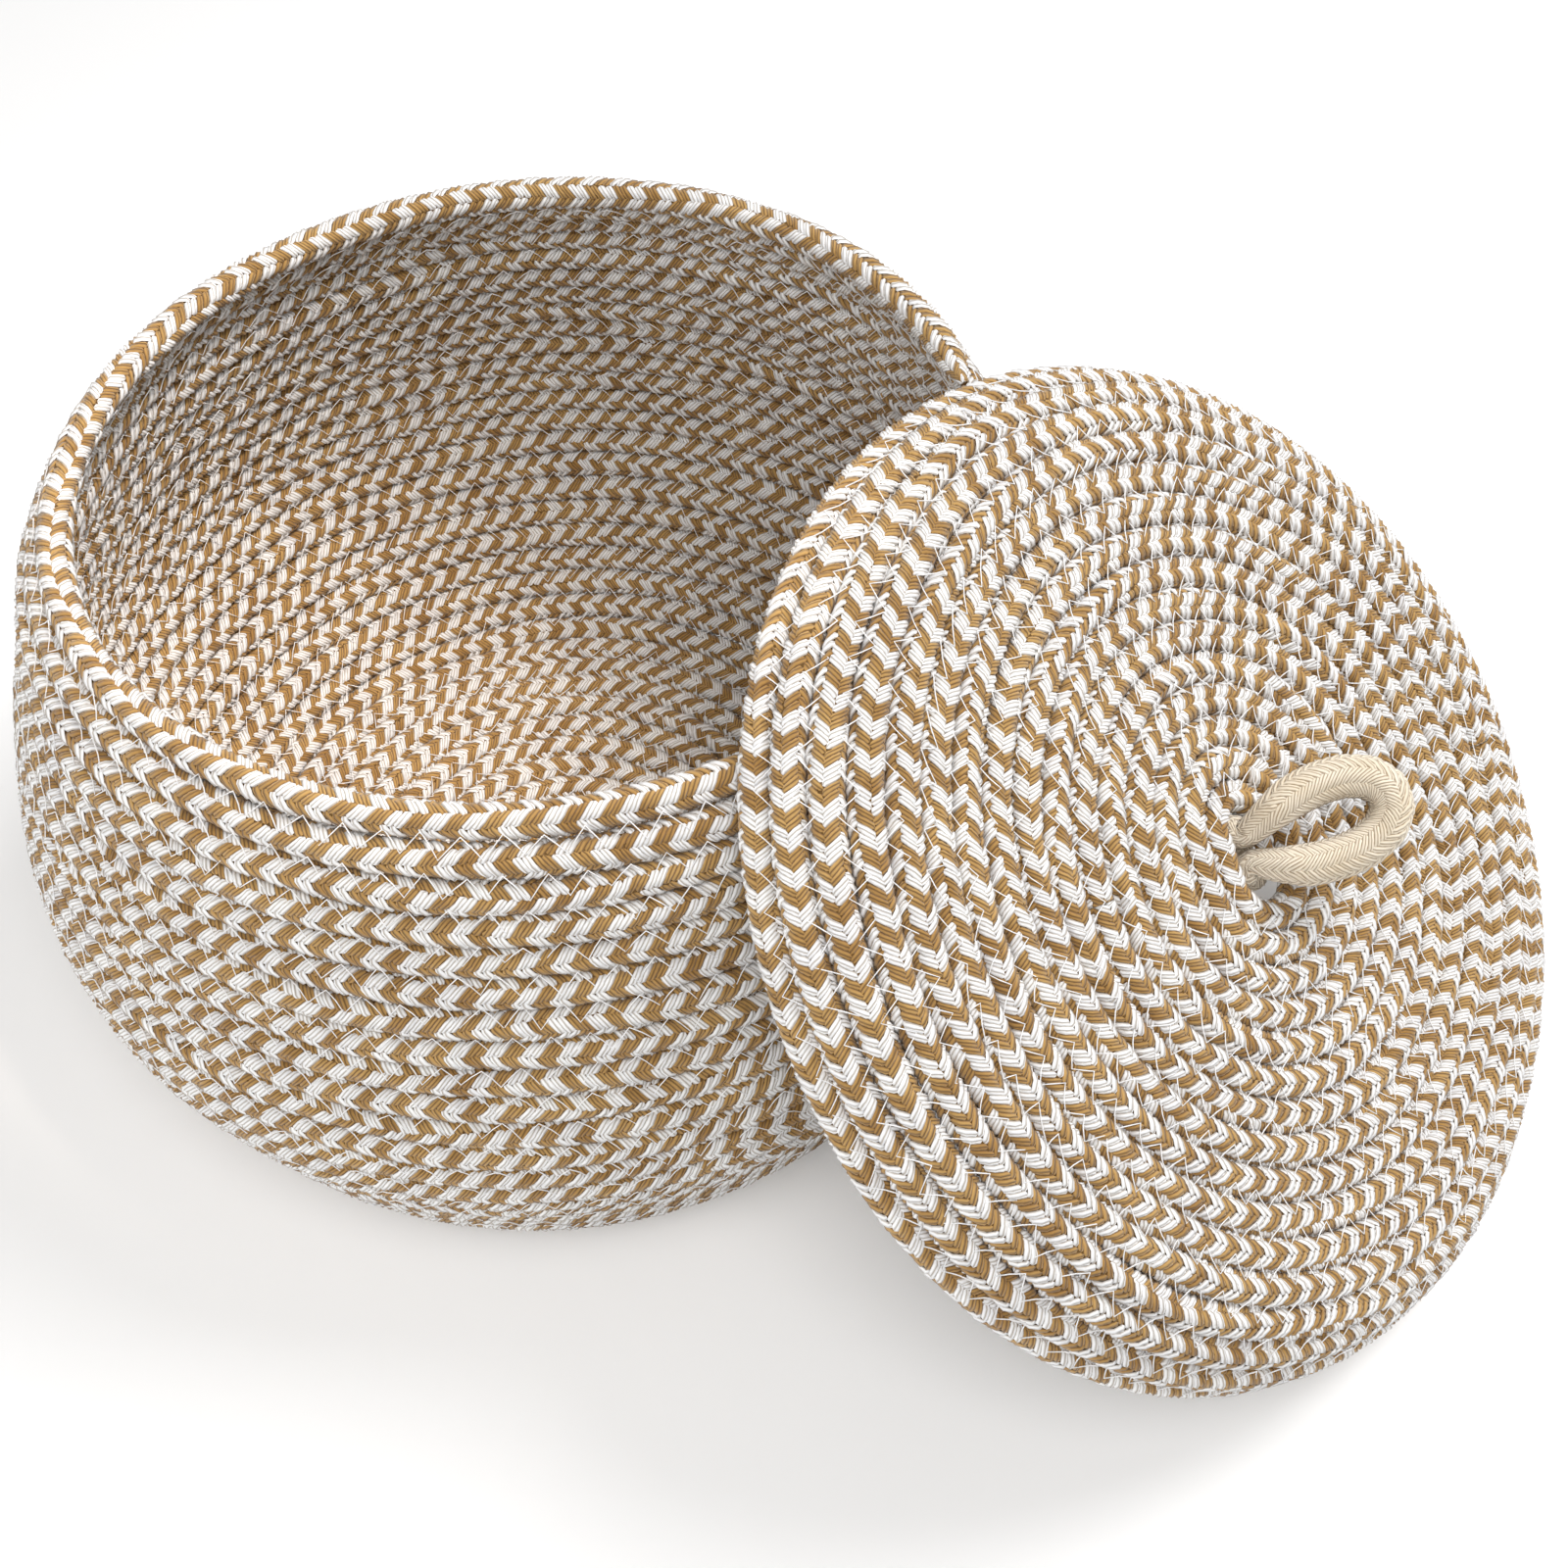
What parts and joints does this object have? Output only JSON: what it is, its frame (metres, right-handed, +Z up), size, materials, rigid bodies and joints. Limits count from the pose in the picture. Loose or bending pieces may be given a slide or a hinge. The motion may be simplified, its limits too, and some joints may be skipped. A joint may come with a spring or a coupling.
{
  "type": "knitting basket",
  "caption": "Round belly-sided basket of coiled braided rope with a domed rope lid leaning on its rim and a cord loop handle.",
  "frame": {"origin": "on the standing plane, under the straight start of the rope at the middle of the basket's floor", "axes": "+Z up out of the basket's mouth, +X towards the side where the lid leans, +Y towards the basket's back as it is seen"},
  "size_m": [0.4088, 0.3172, 0.1911],
  "materials": {
    "basket_rope": "matte braided cotton rope in white and tan, zigzag sewn",
    "lid_rope": "matte braided cotton rope in white and tan, zigzag sewn",
    "handle_cord": "matte fine-braided cream cotton cord"
  },
  "bodies": {
    "basket": {"basket_floor_coil": "basket_rope", "basket_wall_lower_coil": "basket_rope", "basket_wall_upper_coil": "basket_rope"},
    "lid": {"lid_crown_coil": "lid_rope", "lid_edge_coil": "lid_rope", "handle_stem_knot": "handle_cord"},
    "handle": {"handle_loop": "handle_cord"}
  },
  "joints": [
    {"name": "lift_lid", "type": "slide", "parent": "basket", "child": "lid", "axis": [0, 0, 1], "range_m": [0, 0.2]},
    {"name": "handle_swing", "type": "hinge", "parent": "lid", "child": "handle", "pos_m": [0.17639, -0.06945, 0.11615], "axis": [-0.2858, 0.7643, 0.5781], "range_deg": [-132, 38]}
  ]
}
